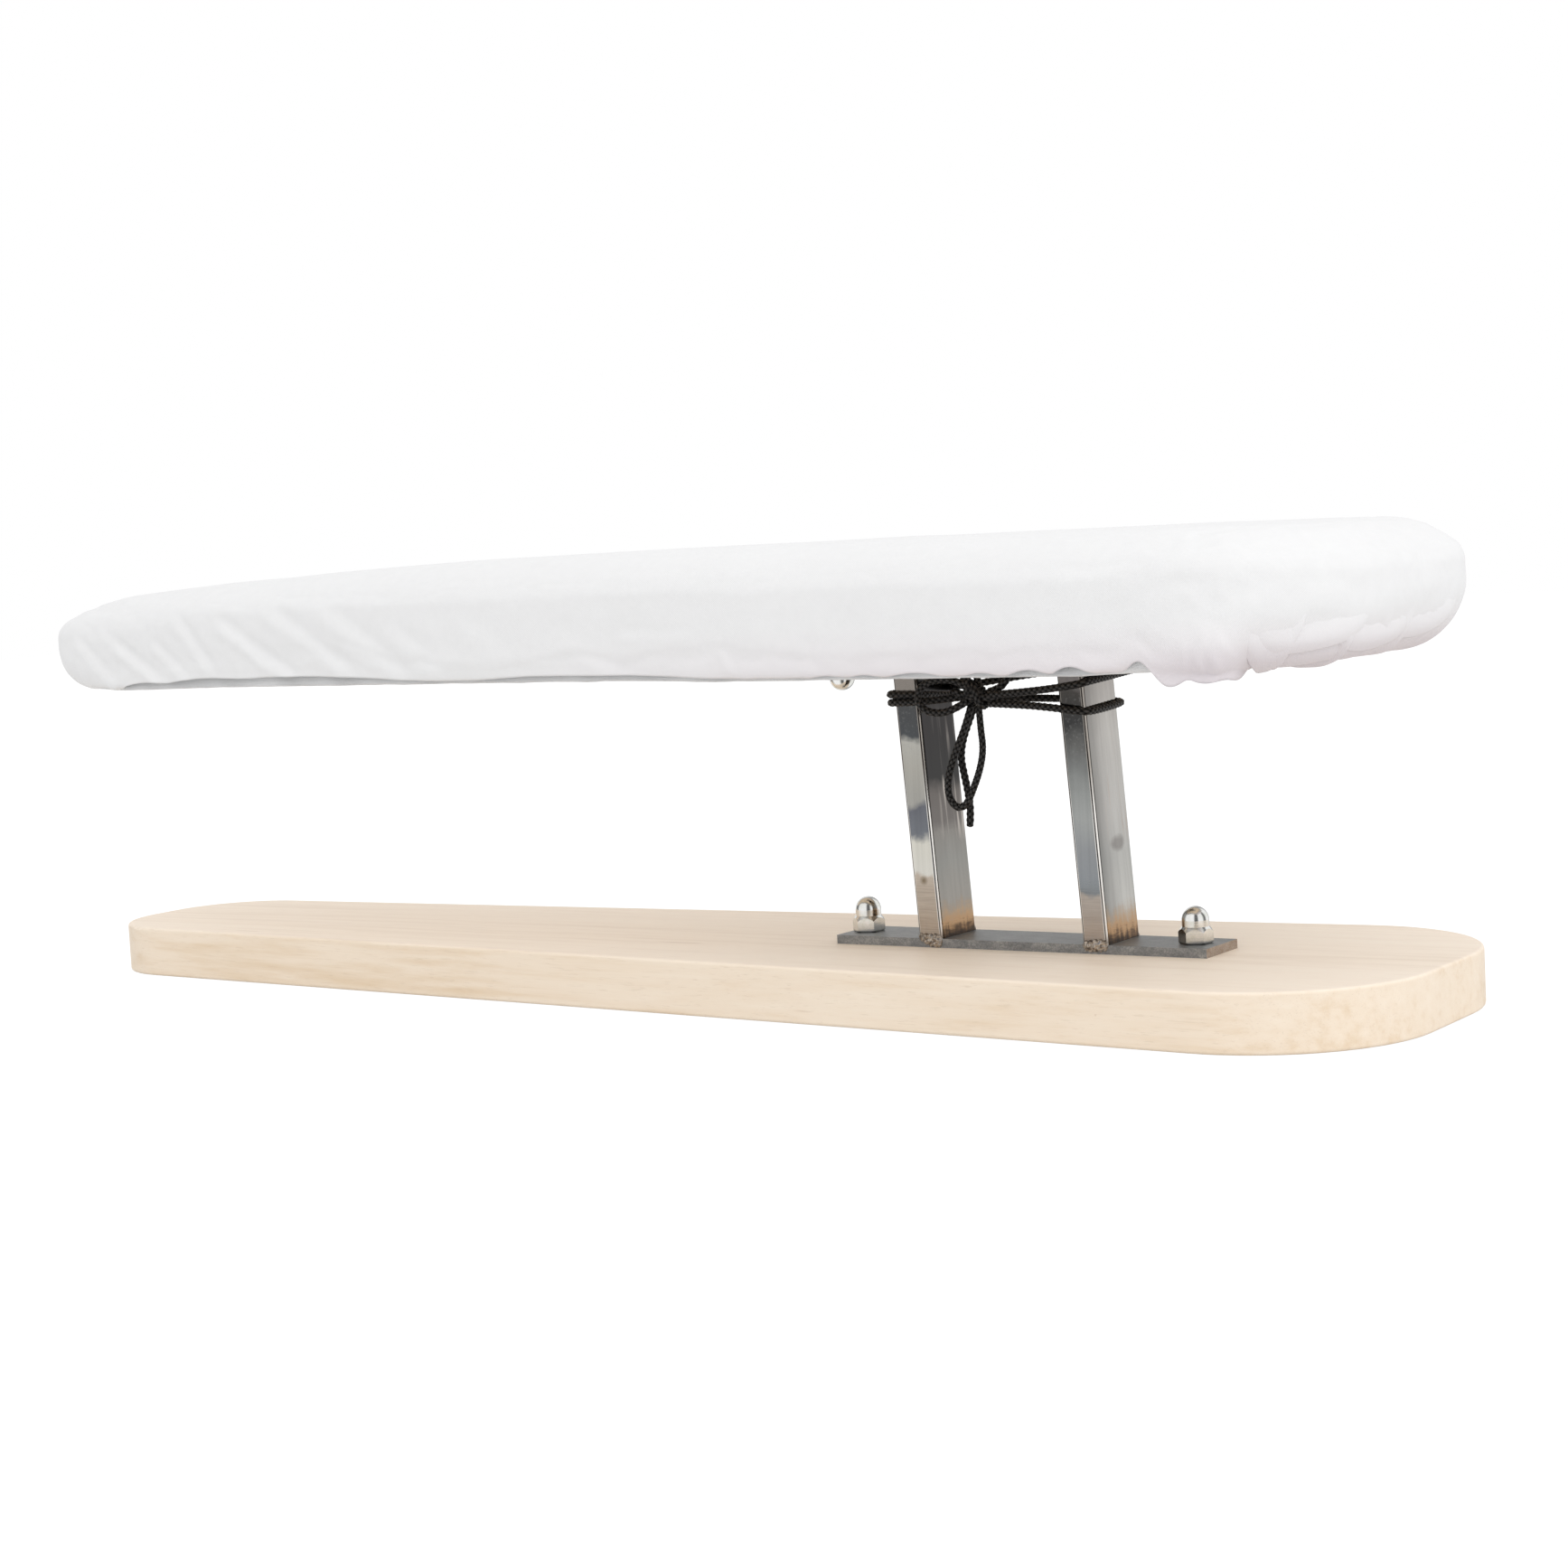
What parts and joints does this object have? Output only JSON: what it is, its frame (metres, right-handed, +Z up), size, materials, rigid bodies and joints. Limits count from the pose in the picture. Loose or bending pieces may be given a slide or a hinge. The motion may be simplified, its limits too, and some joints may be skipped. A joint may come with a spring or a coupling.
{
  "type": "sleeve ironing board",
  "caption": "Free-standing sleeve ironing board: a tapered padded arm with a drawstring cotton cover, on a leaning welded steel stand bolted to a wooden base board.",
  "frame": {"origin": "bottom centre of the object's box, on the surface that the base board stands on", "axes": "+X along the board towards the wide heel, +Y across it, +Z up"},
  "size_m": [0.767, 0.1934, 0.206],
  "materials": {
    "wood": "planed and sanded, unvarnished",
    "mill_scale_steel": "hot-rolled bar with blue-grey mill scale",
    "bright_steel": "bright drawn tube, heat-tinted at the welds",
    "weld_metal": "rough weld bead",
    "zinc_plate": "bright zinc plate",
    "white_wadding": "soft wadding",
    "grey_felt": "needled felt",
    "staple_wire": "galvanised wire",
    "white_cotton": "cotton twill",
    "black_cord": "braided polyester"
  },
  "bodies": {
    "root": {"base_board": "wood", "top_board": "wood", "foot_plate": "mill_scale_steel", "head_plate": "mill_scale_steel", "tip_leg": "bright_steel", "heel_leg": "bright_steel", "tip_leg_foot_welds": "weld_metal", "tip_leg_head_welds": "weld_metal", "heel_leg_foot_welds": "weld_metal", "heel_leg_head_welds": "weld_metal", "foot_bolts": "zinc_plate", "head_bolts": "zinc_plate", "foot_cap_nuts": "zinc_plate", "head_cap_nuts": "zinc_plate", "wadding_pad": "white_wadding", "felt_pad": "grey_felt", "felt_staples": "staple_wire", "cover": "white_cotton", "drawcord_hem_run": "black_cord", "drawcord_knot": "black_cord", "drawcord_heel_strand": "black_cord", "drawcord_heel_turn": "black_cord", "drawcord_tip_strand": "black_cord", "bow_side_loop": "black_cord", "bow_hanging_loop": "black_cord", "bow_upper_loop": "black_cord", "bow_tail": "black_cord"}
  },
  "joints": []
}
